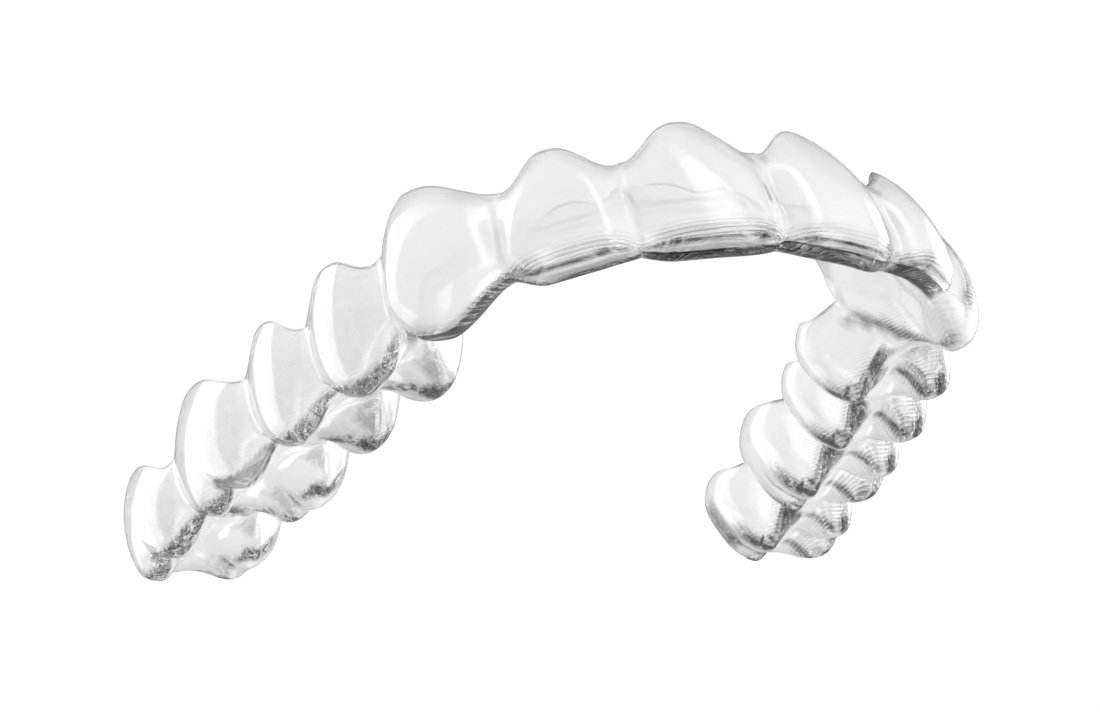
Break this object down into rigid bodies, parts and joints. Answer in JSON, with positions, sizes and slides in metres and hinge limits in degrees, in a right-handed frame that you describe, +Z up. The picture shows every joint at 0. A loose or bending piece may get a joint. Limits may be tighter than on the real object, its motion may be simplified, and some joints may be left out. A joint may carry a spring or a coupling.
{
  "type": "clear aligner",
  "caption": "Thin clear shell formed over the crowns of the upper teeth, open at the gum side, with a scalloped trimmed edge.",
  "frame": {"origin": "centre of the bounding box on the plane that the trimmed edge rests on", "axes": "+Z up through the biting side, -Y towards the front teeth, +X towards the wearer's right"},
  "size_m": [0.0548, 0.0468, 0.0108],
  "materials": {
    "clear_polyurethane": "clear and glossy, smooth from the mould"
  },
  "bodies": {
    "root": {"aligner_shell": "clear_polyurethane"}
  },
  "joints": []
}
